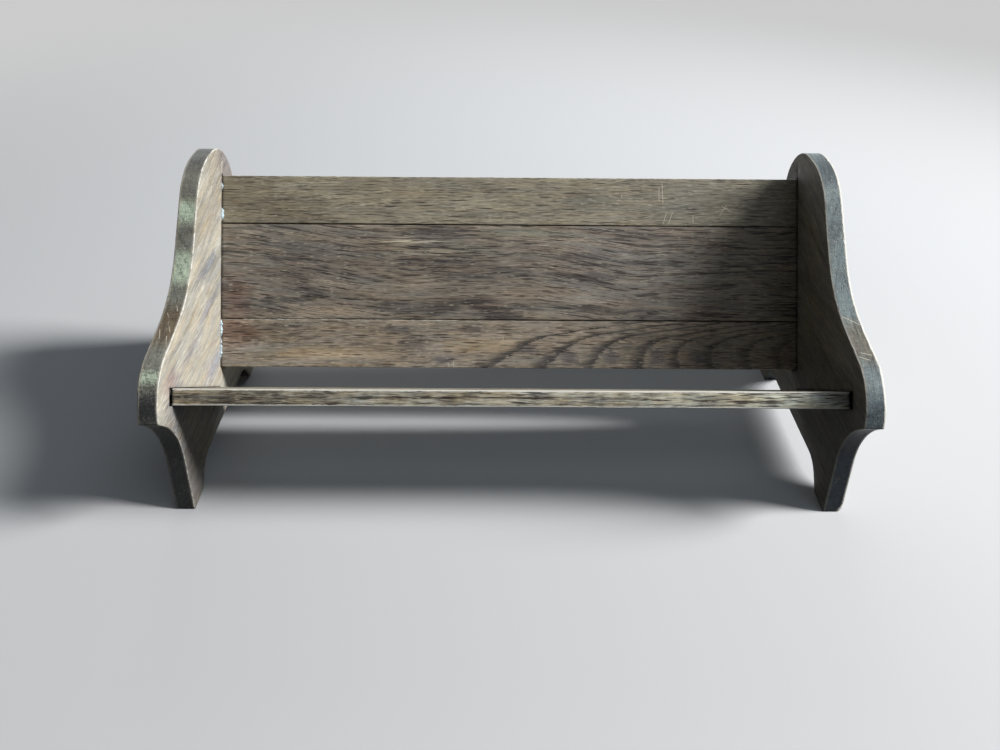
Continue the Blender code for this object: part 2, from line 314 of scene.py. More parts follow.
PLANKS = {
    "back_top_board": Plank(
        seed=3.1, heart_across=60.0, heart_behind=25.0, ring=1.8, waviness=2.0, jitter=4.0,
        contrast=0.15, ray_share=0.20, veil=0.25, pore_share=0.42, grain_depth=0.85,
        fineness=0.85, flow=0.6, patch_depth=0.5, streak_depth=0.30, line_depth=0.38, hue=0.55,
        tones=TOP_TONES,
        stains_and_painted_light=[(-200, 4, 60, 50, DULL), (-160, -8, 60, 30, DULL), (-80, 2, 90, 16, FAINT_TAN),
                (60, 0, 60, 20, FAINT_GREY), (150, 0, 150, 60, FAINT_GREY)],
        scratches=on_face((113.6, 14, 114.4, -1), (111.4, 11, 111.4, 1),
                          (114.5, -16.5, 117, -8), (118.5, -16.5, 121.5, -8),
                          (137, -10, 137, -16), (154, -7, 163, -4), (157, -10, 162, -2),
                          (159, -3, 165.5, -7), (83, 5.5, 83.6, 3.5), (53, -1.2, 54.4, -2))),
    "back_middle_board": Plank(
        seed=11.7, heart_across=14.0, heart_behind=120.0, ring=2.6, waviness=3.5, jitter=7.0,
        band=0.28, faded=0.0, pore_depth=0.9, line_depth=0.70, patch_depth=0.7, hue=0.6,
        tones=BROWN_TONES,
        bends=[(-215.0, -80.0, -15.0), (10.0, 110.0, -9.0)],
        eyes=[(-71.0, 16.0, 44.0, 15.0, 6.0)],
        stains_and_painted_light=[(-204, -20, 26, 40, RED_BROWN), (-150, 18, 60, 12, SOFT_GREY),
                (-72, 23, 60, 8, EYE_PALE), (-60, 20, 36, 2.5, DARK_GREY),
                (-70, 15, 54, 6, EYE_GREY), (-44, 8, 50, 4, DARK_GREY),
                (-55, 31, 60, 8, DARK_GREY), (-18, 1, 64, 18, GREY_STROKES_AND_SHADE),
                (-75, 8, 30, 7, GREY_STROKES_AND_SHADE), (57, 12, 50, 9, GREY_STROKES_AND_SHADE),
                (62, -3, 34, 9, GREY_STROKES_AND_SHADE), (-60, -27, 90, 14, SOFT_GREY),
                (-140, -30, 110, 8, FAINT_TAN), (28, -15, 70, 14, FAINT_TAN),
                (90, 0, 150, 90, COOL), (-170, 0, 120, 90, FAINT_GREY),
                (-30, 17, 40, 6, PALE_GREEN), (15, 30, 80, 8, PALE_GREEN)],
        scratches=on_face((110, 14, 116, 14.5), (98, -6, 103, -5.5), (140, -1, 141, -1.4))),
    "back_lower_board": Plank(
        seed=23.4, heart_across=10.0, heart_behind=94.0, waviness=0.8, jitter=2.2, flow=0.5,
        band=0.42, contrast=1.0, faded=0.55, fading=(16.0, 3.5, 3.5), streak_depth=0.30,
        line_depth=0.40, patch_depth=0.6, hue=0.8, tones=TAN_TONES,
        swept_rings=(-120.0, -66.0, -21.0, 22.0, 58.0, 98.5, 128.5, 154.0, 182.0, 205.0, 225.0),
        stains_and_painted_light=[(-205, 8, 44, 24, RED_BROWN), (-180, 8, 90, 20, DULL),
                (-135, -7, 100, 12, PALE_TAN), (-72, 0, 30, 11, DARK_GREY),
                (-85, 10, 34, 8, DARK_GREY), (-50, -12, 22, 7, DARK_GREY),
                (-30, 11, 26, 6, DARK_GREY), (-18, 0, 80, 13, PALE_TAN),
                (150, 4, 170, 60, DULL), (12, -3, 24, 11, BAND_CORE),
                (44, -9, 20, 13, BAND_CORE), (76, -9, 17, 15, BAND_CORE),
                (111, -8, 15, 18, BAND_CORE), (140, -10, 12, 18, BAND_CORE)],
        scratches=on_face((-5.5, 2, -4.5, 5), (-46, -14, -45, -18), (-42, -13, -42, -18))),
    "shelf_board": Plank(
        seed=31.9, heart_across=-40.0, heart_behind=30.0, ring=2.2, waviness=1.0, contrast=0.4,
        pore_depth=0.9, pore_share=0.50, fleck_share=0.15, grain_depth=1.2, fineness=0.95,
        flow=0.15, patch_depth=0.6, front_patches=1.0, streak_depth=0.3, line_depth=0.85,
        # A wide pale band on the shelf's arrises: partly wear, partly a painted highlight
        hue=1.8, rubbed=1.0, rub_and_highlight_reach=0.80, tones=SHELF_TONES,
        # Painted light: the shelf paler towards its right-hand end, near the window
        stains_and_painted_light=[(170, -44, 240, 80, PAINTED_WINDOW_LIGHT), (205, -44, 130, 80, PAINTED_WINDOW_LIGHT),
                (-185, -44, 90, 60, DULL)]),
    "left_end": Plank(
        seed=41.3, heart_across=20.0, heart_behind=60.0, ring=5.0, contrast=0.2,
        pore_depth=0.16, pore_share=0.3, fleck_share=0.05, veil=0.25, joint_grime=0.3,
        grain_depth=0.80, patch_depth=0.45, streak_depth=0.28, line_depth=0.12, hue=1.15,
        # The edge's green-grey tint: the end grain's darker tone with a painted sheen in it
        upper_rise=0.20, edge_shade=0.24, edge_tint_and_sheen=(0.64, 0.70, 0.70), rubbed=1.0,
        # Pale inner arrises, turned to the window: partly a painted highlight
        rub_and_highlight_reach=-0.10, shaded_side_rub=0.3, tones=END_TONES,
        stains_and_painted_light=[(100, 72, 44, 60, CREST_SHADE), (74, 84, 44, 36, DULL), (40, 60, 100, 30, DULL),
                (20, 31, 62, 11, DEEP_LAVENDER), (25, 24, 60, 44, FAINT_GREY),
                (4, 6, 60, 8, LAVENDER), (-78, -10, 34, 46, LAVENDER),
                # A painted shadow over the foot
                (-94, -62, 56, 120, PAINTED_FOOT_SHADOW), (-40, 0, 60, 8, LAVENDER),
                (-10, -34, 50, 18, LAVENDER), (-80, 2, 26, 20, PINKISH)],
        # The left end's edge: a painted green sheen in three places
        edge_stains_and_painted_light=[(25, 70, 34, 16, PAINTED_GREEN_SHEEN), (-6, 44, 34, 24, PAINTED_GREEN_SHEEN),
                     (-90, 15, 14, 7, PAINTED_GREEN_SHEEN), (-48, 26, 50, 20, EARTH),
                     # Painted shade on the nose and on the front of the foot
                     (-104, 2, 24, 24, PAINTED_FOOT_SHADE), (-90, -62, 80, 150, PAINTED_FOOT_SHADE),
                     # Painted shade on the top of the edge
                     (70, 92, 56, 40, GREY_STROKES_AND_SHADE)],
        scratches=[((-38, 28.4, -3), (-46, 26.6, 1)), ((-44, 27.2, -1), (-54, 24.5, 3)),
                   ((-52, 25.2, -4), (-60, 23.4, -2)), ((-58, 24.0, 2), (-66, 22.2, 4)),
                   ((-30, 30.6, 1), (-36, 29.0, 3))]),
    "right_end": Plank(
        seed=53.8, heart_across=-15.0, heart_behind=-64.0, ring=5.0, contrast=0.25,
        pore_depth=0.35, pore_share=0.3, fleck_share=0.08, veil=0.5, line_depth=0.2,
        # The edge's blue tint is a painted reflection of a cool sky
        upper_rise=0.20, edge_shade=0.22, edge_tint_and_sheen=(0.76, 1.00, 1.18), rubbed=1.0,
        # A wide pale outer arris, turned to the window: partly a painted sheen; the inner arris
        # stays dark
        rub_and_highlight_reach=0.60, shaded_side_rub=0.1, tones=SHADED_END_TONES,
        # The right end's edge: earthy low down, darker at top and nose, painted shade on the foot
        edge_stains_and_painted_light=[(-58, 23, 52, 22, EARTH), (58, 92, 48, 30, GREY_STROKES_AND_SHADE),
                     (-104, 2, 20, 20, SOFT_GREY), (-90, -62, 80, 150, PAINTED_FOOT_SHADE)],
        scratches=[((-37.6, 28.5, -4.5), (-44.6, 26.6, 5.5)),
                   ((-72.6, 21.3, -4.5), (-75.2, 20.8, 1.5)),
                   ((-69, 21.9, -2), (-71, 21.5, 4)), ((10, 63, -4), (4, 58, 2))]),
}

# Places where the arrises are worn further. A board's are (corner, X, reach, radius), an end's
# (on its inner face, (Y, Z), reach, radius). Seams are the sides where another board meets this
# one, and pale_seams are (side, from X, to X) where that arris is worn pale.
BOARDS = (
    ("back_top_board", "back_oak", {"seams": (-1,), "wear": [(3, -0.20, 0.30, 0.0004)]}),
    ("back_middle_board", "back_oak", {
        "seams": (-1, 1), "wear": [(0, -0.20, 0.30, 0.0004), (3, 0.15, 0.25, 0.0003)],
        "pale_seams": [(-1, -0.20, -0.13)]}),
    ("back_lower_board", "back_oak", {
        "seams": (1,), "wear": [(0, 0.15, 0.25, 0.0004)], "pale_seams": [(1, -0.20, -0.04)]}),
    ("shelf_board", "shelf_oak", {"wear": [(3, 0.0, 0.6, 0.0005)]}),
)
BOARD_SEEDS = (2.0, 13)
ENDS = (
    ("left_end", -1, 61.0, [(False, (-0.1005, 0.098), 0.012, 0.0008)]),
    ("right_end", 1, 83.0, [(False, (-0.0985, 0.0), 0.007, 0.0026),
                            (False, (-0.094, 0.104), 0.016, 0.0008)]),
)
END_AXES = Matrix(((0.0, 0.0, 1.0), (1.0, 0.0, 0.0), (0.0, 1.0, 0.0)))
OUTER_SEED = 11
EDGE_SEED = 5

# The glue's runs: the board it lies along, from, to and its radius
GLUE_RUNS = (
    ("back_top_board", -0.0160, -0.0065, 0.0020),
    ("back_top_board", 0.0070, 0.0125, 0.0008),
    ("back_lower_board", 0.0040, 0.0176, 0.0014),
    ("back_lower_board", -0.0120, 0.0040, 0.0011),
)


def section_loops(node, x):
    """Closed loops of (y, z) points where the plane at that X cuts a solid, longest first."""
    body = bmesh.new()
    body.from_mesh(node.data)
    bmesh.ops.remove_doubles(body, verts=body.verts, dist=WELD)
    everything = body.verts[:] + body.edges[:] + body.faces[:]
    bmesh.ops.bisect_plane(body, geom=everything, plane_co=(x, 0.0, 0.0), plane_no=(1.0, 0.0, 0.0),
                           clear_inner=True, clear_outer=True)
    loops = []
    left = set(body.verts)
    while left:
        vert = left.pop()
        loop = [vert]
        while True:
            ahead = [e.other_vert(loop[-1]) for e in loop[-1].link_edges]
            ahead = [v for v in ahead if v in left]
            if not ahead:
                break
            loop.append(ahead[0])
            left.remove(ahead[0])
        loops.append(without_straight_points([Vector(v.co.yz) for v in loop]))
    body.free()
    return sorted(loops, key=loop_length, reverse=True)


def loop_length(loop):
    return sum((loop[i] - loop[i - 1]).length for i in range(len(loop)))


def without_straight_points(loop):
    kept = []
    for i, point in enumerate(loop):
        arriving = point - loop[i - 1]
        leaving = loop[(i + 1) % len(loop)] - point
        if abs(arriving.angle_signed(leaving, 0.0)) > STRAIGHT:
            kept.append(point)
    return kept


def resampled(loop, spacing):
    """The loop with its long sides divided, so that no step is longer than the spacing."""
    points = []
    for i, point in enumerate(loop):
        following = loop[(i + 1) % len(loop)]
        steps = max(1, round((following - point).length / spacing))
        points += [point.lerp(following, step / steps) for step in range(steps)]
    return points


def worn_radius(seed, along):
    """The radius of a worn arris at a place along it, with a nick here and there."""
    drift = noise.noise(Vector((along / ARRIS_DRIFT, seed, 0.0)))
    nick = noise.noise(Vector((along / NICK_LENGTH, seed, 7.0))) - NICK_SHARE
    return ARRIS_RADIUS * (1 + DRIFT_SHARE * drift) + NICK_DEPTH * max(0.0, nick)


def hand_wave(point, seed):
    """How far a hand-planed face lies below the flat one."""
    wave = noise.noise(point / HAND_WAVE_LENGTH + Vector((seed, 0.0, 0.0)))
    return HAND_WAVE_DEPTH * (1 + wave) / 2


def shared_out(low, high, spacing, margins):
    """Places from low to high: first and last at the margins, the rest evenly spaced."""
    inner_low = low + margins[-1]
    inner_high = high - margins[-1]
    steps = max(1, round((inner_high - inner_low) / spacing))
    middle = [inner_low + (inner_high - inner_low) * i / steps for i in range(steps + 1)]
    return [low + m for m in margins[:-1]] + middle + [high - m for m in reversed(margins[:-1])]


def placed(name, data):
    """A new object of the scene with this mesh, lamp or lens."""
    thing = bpy.data.objects.new(name, data)
    bpy.context.scene.collection.objects.link(thing)
    return thing


def as_mesh(name, body):
    mesh = bpy.data.meshes.new(name)
    body.to_mesh(mesh)
    body.free()
    return mesh


def smooth_piece(name, body):
    """A piece that rides on the root, its faces turned outwards and shaded smooth."""
    bmesh.ops.recalc_face_normals(body, faces=body.faces)
    piece = placed(name, as_mesh(name, body))
    piece.data.shade_smooth()
    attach(piece, "root")
    return piece


def add_tube(body, rings):
    """Faces between rings of points, one after the other, and a cap at both ends."""
    for first, second in zip(rings, rings[1:]):
        for i in range(len(first)):
            body.faces.new((first[i - 1], first[i], second[i], second[i - 1]))
    body.faces.new(rings[0])
    body.faces.new(rings[-1])


def new_piece(name, body, replaced):
    piece = smooth_piece(name, body)
    piece.data.set_sharp_from_angle(angle=SMOOTH_ANGLE)
    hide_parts(replaced)
    return piece


class Section:
    """How a board lies in the side view: its middle, its directions and its half sizes."""

    def __init__(self, node_name):
        self.low, self.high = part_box(node_name)
        loop = section_loops(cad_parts[node_name], (self.low.x + self.high.x) / 2)[0]
        sides = [loop[i] - loop[i - 1] for i in range(len(loop))]
        across = max(sides, key=lambda side: side.length).normalized()
        self.across = across if across.x > 0 else -across
        self.facing = Vector((-self.across.y, self.across.x))
        reach = [point.dot(self.across) for point in loop]
        depth = [point.dot(self.facing) for point in loop]
        self.half_width = (max(reach) - min(reach)) / 2
        self.half_thickness = (max(depth) - min(depth)) / 2
        self.middle = (max(reach) + min(reach)) / 2 * self.across
        self.middle += (max(depth) + min(depth)) / 2 * self.facing
        self.tilt = atan2(self.across.y, self.across.x)

    def world(self, x, v, w):
        point = self.middle + v * self.across + w * self.facing
        return Vector((x, point.x, point.y))


def rounded_ring(half_width, half_thickness, radii):
    """Points round a board's section, each with its distance from the nearest arris.

    The corners come in the order: front of the upper edge, rear of it, rear of the lower
    edge, front of it. A face's points keep their places while the corners' radii change.
    """
    signs = ((1, 1), (1, -1), (-1, -1), (-1, 1))
    ring = []
    for i, (side, front) in enumerate(signs):
        radius = radii[i]
        corner = Vector((side * half_width, front * half_thickness))
        centre = corner - Vector((side * radius, front * radius))
        start = {0: pi / 2, 1: 0.0, 2: -pi / 2, 3: pi}[i]
        for step in range(ARRIS_POINTS + 1):
            turn = start - step / ARRIS_POINTS * pi / 2
            ring.append(centre + radius * Vector((cos(turn), sin(turn))))
        if i % 2 == 0:
            depth = [front * half_thickness * (1 - 2 * share) for share in BOARD_EDGE_SHARES]
            ring += [Vector((side * half_width, w)) for w in depth]
        else:
            places = shared_out(-half_width, half_width, FACE_SPACING, FACE_MARGINS)
            if side > 0:
                places = list(reversed(places))
            ring += [Vector((v, front * half_thickness)) for v in places]
    return ring


def stations(low, high, shoulder):
    """Places along a board, each with whether the front corner is cut away there.

    At a shoulder there are two in one place, one of each kind.
    """
    count = round((high - low) / STATION_SPACING)
    places = [low + (high - low) * i / count for i in range(count + 1)]
    marked = [(x, shoulder is not None and abs(x) > shoulder) for x in places]
    if shoulder is not None:
        marked += [(side * shoulder, cut) for side in (-1, 1) for cut in (False, True)]
    return sorted(marked, key=lambda mark: (mark[0], mark[1] == (mark[0] > 0)))


def make_board(name, replaced, slot, seed, wear, seams=(), pale_seams=(), shoulder=None):
    """A board between the ends, and its section. BOARDS says what wear and the seams are."""
    section = Section(replaced)
    low, high = section.low.x, section.high.x
    body = bmesh.new()
    arris = body.verts.layers.float.new("arris")
    joint = body.verts.layers.float.new("joint")
    face_of_end = high - HOUSING_DEPTH + FIT
    rings = []
    for x, is_cut in stations(low, high, shoulder):
        radii = [worn_radius(seed + 3 * corner, x) + further_wear(wear, corner, x)
                 for corner in range(4)]
        verts = []
        for v, w in rounded_ring(section.half_width, section.half_thickness, radii):
            sink = hand_wave(section.world(x, v, w), seed)
            to_side = section.half_width - abs(v)
            to_face = section.half_thickness - abs(w)
            if to_face < to_side:
                w -= sink * (1 if w > 0 else -1)
            else:
                v -= sink * (1 if v > 0 else -1)
            if is_cut:
                v = max(v, CORNER_CUT_LENGTH - section.half_width)
            side = 1 if v > 0 else -1
            is_pale = any(side == at and start < x < end for at, start, end in pale_seams)
            is_seam = side in seams and not is_pale
            to_joint = (face_of_end - abs(x)) / MM
            vert = body.verts.new(section.world(x, v, w))
            vert[arris] = max(to_side, to_face) / MM
            vert[joint] = to_joint
            if is_seam:
                vert[joint] = min(to_joint, SEAM_SHARPNESS * to_side / MM)
                if to_side < to_face + MM:
                    vert[arris] = FAR
            verts.append(vert)
        rings.append(verts)
    add_tube(body, rings)
    bmesh.ops.remove_doubles(body, verts=body.verts, dist=WELD / 10)
    return new_piece(name, body, replaced), section


def further_wear(places, corner, x):
    """Extra radius from the places listed as (corner, X, reach, radius)."""
    extra = 0.0
    for at_corner, at_x, reach, radius in places:
        if at_corner == corner:
            share = max(0.0, 1 - ((x - at_x) / reach) ** 2)
            extra += radius * share * share
    return extra


def distance_to_loop(points, loop):
    """Each point's distance to a closed loop, and the nearest side's number."""
    starts = np.array(loop, float)
    sides = np.roll(starts, -1, axis=0) - starts
    offsets = np.array(points, float)[:, None, :] - starts[None]
    shares = np.clip((offsets * sides).sum(2) / (sides ** 2).sum(1), 0, 1)
    gaps = np.linalg.norm(offsets - shares[..., None] * sides, axis=2)
    return gaps.min(1), gaps.argmin(1)


def inside_loop(points, loop):
    starts = np.array(loop, float)
    ends = np.roll(starts, -1, axis=0)
    p = np.array(points, float)[:, None, :]
    spans = (starts[:, 1] > p[..., 1]) != (ends[:, 1] > p[..., 1])
    rise = np.where(ends[:, 1] == starts[:, 1], 1.0, ends[:, 1] - starts[:, 1])
    crossing = starts[:, 0] + (p[..., 1] - starts[:, 1]) / rise * (ends[:, 0] - starts[:, 0])
    return ((p[..., 0] < crossing) & spans).sum(1) % 2 == 1


def grown(loop, reach):
    """A rectangle's corners moved out by the same reach on every side."""
    middle = sum(loop, Vector((0.0, 0.0))) / len(loop)
    points = []
    for i, point in enumerate(loop):
        arriving = (point - loop[i - 1]).normalized()
        leaving = (loop[(i + 1) % len(loop)] - point).normalized()
        points.append(point + reach * (arriving - leaving))
    if sum((p - middle).length for p in points) < sum((p - middle).length for p in loop):
        return grown(loop, -reach)
    return points


def arris_drop(distance, radius):
    """How far a face has dropped at a distance from the outline, where the arris is round."""
    if distance >= radius:
        return 0.0
    return radius - max(0.0, radius * radius - (radius - distance) ** 2) ** 0.5


def face_points(outline, radii, hollows):
    """Points inside an end's face: rings that follow the outline, then an even grid."""
    rings = []
    count = len(outline)
    for share, reach in END_RINGS:
        for i, point in enumerate(outline):
            along = (outline[(i + 1) % count] - outline[i - 1]).normalized()
            inward = Vector((-along.y, along.x))
            offset = share * radii[i] + reach
            rings.append((point + offset * inward, offset))
    places = [point for point, offset in rings]
    gaps = distance_to_loop(places, outline)[0]
    inside = inside_loop(places, outline)
    points = [point for k, (point, offset) in enumerate(rings)
              if inside[k] and gaps[k] > RING_KEPT * offset]
    low = [min(p[axis] for p in outline) for axis in range(2)]
    high = [max(p[axis] for p in outline) for axis in range(2)]
    columns = int((high[0] - low[0]) / FACE_SPACING)
    rows = int((high[1] - low[1]) / FACE_SPACING)
    grid = [Vector((low[0] + column * FACE_SPACING, low[1] + row * FACE_SPACING))
            for column in range(columns) for row in range(rows)]
    gaps = distance_to_loop(grid, outline)[0]
    inside = inside_loop(grid, outline)
    points += [point for k, point in enumerate(grid) if inside[k] and gaps[k] > GRID_MARGIN]
    for hollow in hollows:
        gaps = distance_to_loop(points, hollow)[0]
        points = [point for k, point in enumerate(points) if gaps[k] > HOLLOW_MARGIN]
    return points


def triangles(points, loops):
    """Triangles over the points, with every side of the loops kept as an edge."""
    edges = []
    for first, count in loops:
        edges += [(first + i, first + (i + 1) % count) for i in range(count)]
    result = geometry.delaunay_2d_cdt([Vector(p) for p in points], edges, [], 0, SAME_PLACE)
    numbers = [origin[0] if origin else None for origin in result[3]]
    found = []
    for face in result[2]:
        numbered = [numbers[k] for k in face]
        if None not in numbered:
            found.append(numbered)
    return found


def score_loop(section):
    """The outline of the line scored above the back's housing, in the side view."""
    low = section.half_width + SCORE_START
    front = section.half_thickness + FIT
    corners = ((low, front), (low + SCORE_LENGTH, front), (low + SCORE_LENGTH, front - SCORE_WIDTH),
               (low, front - SCORE_WIDTH))
    return [Vector(section.world(0.0, v, w).yz) for v, w in corners]


def rounded_off(outline, travelled, seed, is_inner, wear):
    """The arris's radius at each point of an end's outline."""
    radii = []
    for point, along in zip(outline, travelled):
        extra = sum(radius * max(0.0, 1 - (point - Vector(at)).length_squared / reach ** 2) ** 2
                    for inner_too, at, reach, radius in wear if inner_too == is_inner)
        radii.append(worn_radius(seed, along) + extra)
    return radii


def add_face(body, layers, outline, radii, cavities, face_x, inward, seed):
    """One face of an end. Cavities are (loop, depth, how bare its wood is)."""
    arris, joint, bare = layers
    hollows = [resampled(cavity[0], OUTLINE_SPACING) for cavity in cavities]
    lips = [resampled(grown(cavity[0], HOUSING_LIP), OUTLINE_SPACING) for cavity in cavities]
    points = list(outline)
    marks = [(0, len(outline))]
    for loop in hollows + lips:
        marks.append((len(points), len(loop)))
        points += loop
    lip_drop = {}
    for number, loop in enumerate(hollows):
        drop = min(HOUSING_LIP, cavities[number][1] / 2)
        lip_drop.update({marks[number + 1][0] + i: drop for i in range(len(loop))})
    points += face_points(outline, radii, hollows + lips)
    gaps, nearest = distance_to_loop(points, outline)
    to_joint = np.full(len(points), FAR)
    bareness = np.zeros(len(points))
    for loop, cavity in zip(hollows, cavities):
        near = distance_to_loop(points, loop)[0] / MM
        share = cavity[2]
        if share:
            bareness = np.maximum(bareness, share * (near < HOUSING_LIP / MM / 2))
        else:
            to_joint = np.minimum(to_joint, near)
    verts = []
    for k, point in enumerate(points):
        on_outline = k < len(outline)
        gap = 0.0 if on_outline else gaps[k]
        drop = arris_drop(gap, radii[k if on_outline else nearest[k]])
        drop += hand_wave(Vector((face_x, point.x, point.y)), seed) + lip_drop.get(k, 0.0)
        vert = body.verts.new((face_x + inward * drop, point.x, point.y))
        vert[arris] = gap / MM
        vert[joint] = to_joint[k]
        vert[bare] = bareness[k]
        verts.append(vert)
    found = triangles(points, marks)
    middles = [sum((points[k] for k in face), Vector((0.0, 0.0))) / len(face) for face in found]
    in_outline = inside_loop(middles, outline)
    inside = [inside_loop(middles, loop) for loop in hollows]
    floor = {}
    borders = {}
    for number, face in enumerate(found):
        if not in_outline[number]:
            continue
        cavity = next((c for c in range(len(hollows)) if inside[c][number]), None)
        corners = [verts[k] for k in face]
        if cavity is not None:
            depth, share = cavities[cavity][1:]
            for k in face:
                if k not in floor:
                    floor[k] = body.verts.new((face_x + inward * depth, points[k].x, points[k].y))
                    floor[k][arris] = FAR
                    floor[k][joint] = FAR if share else 0.0
                    floor[k][bare] = share
            corners = [floor[k] for k in face]
        body.faces.new(corners)
        for a, b in zip(face, face[1:] + face[:1]):
            borders.setdefault(frozenset((a, b)), set()).add(cavity)
    for border, kinds in borders.items():
        if len(kinds) == 2:
            a, b = tuple(border)
            body.faces.new((verts[a], verts[b], floor[b], floor[a]))
    return verts[:len(outline)]


def make_end(name, replaced, side, seed, wear, back):
    """A shaped end: side is -1 on the left and 1 on the right. ENDS says what wear is."""
    low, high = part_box(replaced)
    inner_x, outer_x = (high.x, low.x) if side < 0 else (low.x, high.x)
    slices = section_loops(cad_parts[replaced], inner_x + side * HOUSING_DEPTH / 2)
    outline = resampled(slices[0], OUTLINE_SPACING)
    if sum(outline[i - 1].cross(outline[i]) for i in range(len(outline))) < 0:
        outline.reverse()
    travelled = [0.0]
    for i in range(1, len(outline)):
        travelled.append(travelled[-1] + (outline[i] - outline[i - 1]).length)
    cavities = [(loop, HOUSING_DEPTH, 0.0) for loop in slices[1:]]
    cavities.append((score_loop(back), SCORE_DEPTH, 1.0))
    body = bmesh.new()
    layers = [body.verts.layers.float.new(key) for key in ("arris", "joint", "bare", "edge")]
    radii = [rounded_off(outline, travelled, seed, True, wear),
             rounded_off(outline, travelled, seed + OUTER_SEED, False, wear)]
    inner = add_face(body, layers[:3], outline, radii[0], cavities, inner_x, side, seed)
    outer = add_face(body, layers[:3], outline, radii[1], [], outer_x, -side, seed + OUTER_SEED)
    add_edge_surface(body, layers, inner, outer, radii, inner_x, outer_x, seed + EDGE_SEED)
    return new_piece(name, body, replaced)


def add_edge_surface(body, layers, inner, outer, radii, inner_x, outer_x, seed):
    """An end's edge all round, between the loops where its two faces stop."""
    arris, joint, _, edge = layers
    count = len(inner)
    columns = []
    for i in range(count):
        first, last = inner[i], outer[i]
        along = Vector(inner[(i + 1) % count].co.yz) - Vector(inner[i - 1].co.yz)
        inward = Vector((-along.y, along.x)).normalized()
        column = [first]
        for share in EDGE_SHARES:
            x = inner_x + (outer_x - inner_x) * share
            if abs(x - inner_x) <= radii[0][i] or abs(x - outer_x) <= radii[1][i]:
                x = first.co.x + (last.co.x - first.co.x) * share
            sink = hand_wave(Vector((x, first.co.y, first.co.z)), seed)
            flat = Vector(first.co.yz) + sink * inward
            vert = body.verts.new((x, flat.x, max(flat.y, 0.0)))
            vert[arris] = min(abs(x - inner_x), abs(x - outer_x)) / MM
            vert[joint] = FAR
            vert[edge] = 1.0
            column.append(vert)
        column.append(last)
        columns.append(column)
    for i in range(count):
        for k in range(len(columns[i]) - 1):
            body.faces.new((columns[i - 1][k], columns[i][k],
                            columns[i][k + 1], columns[i - 1][k + 1]))


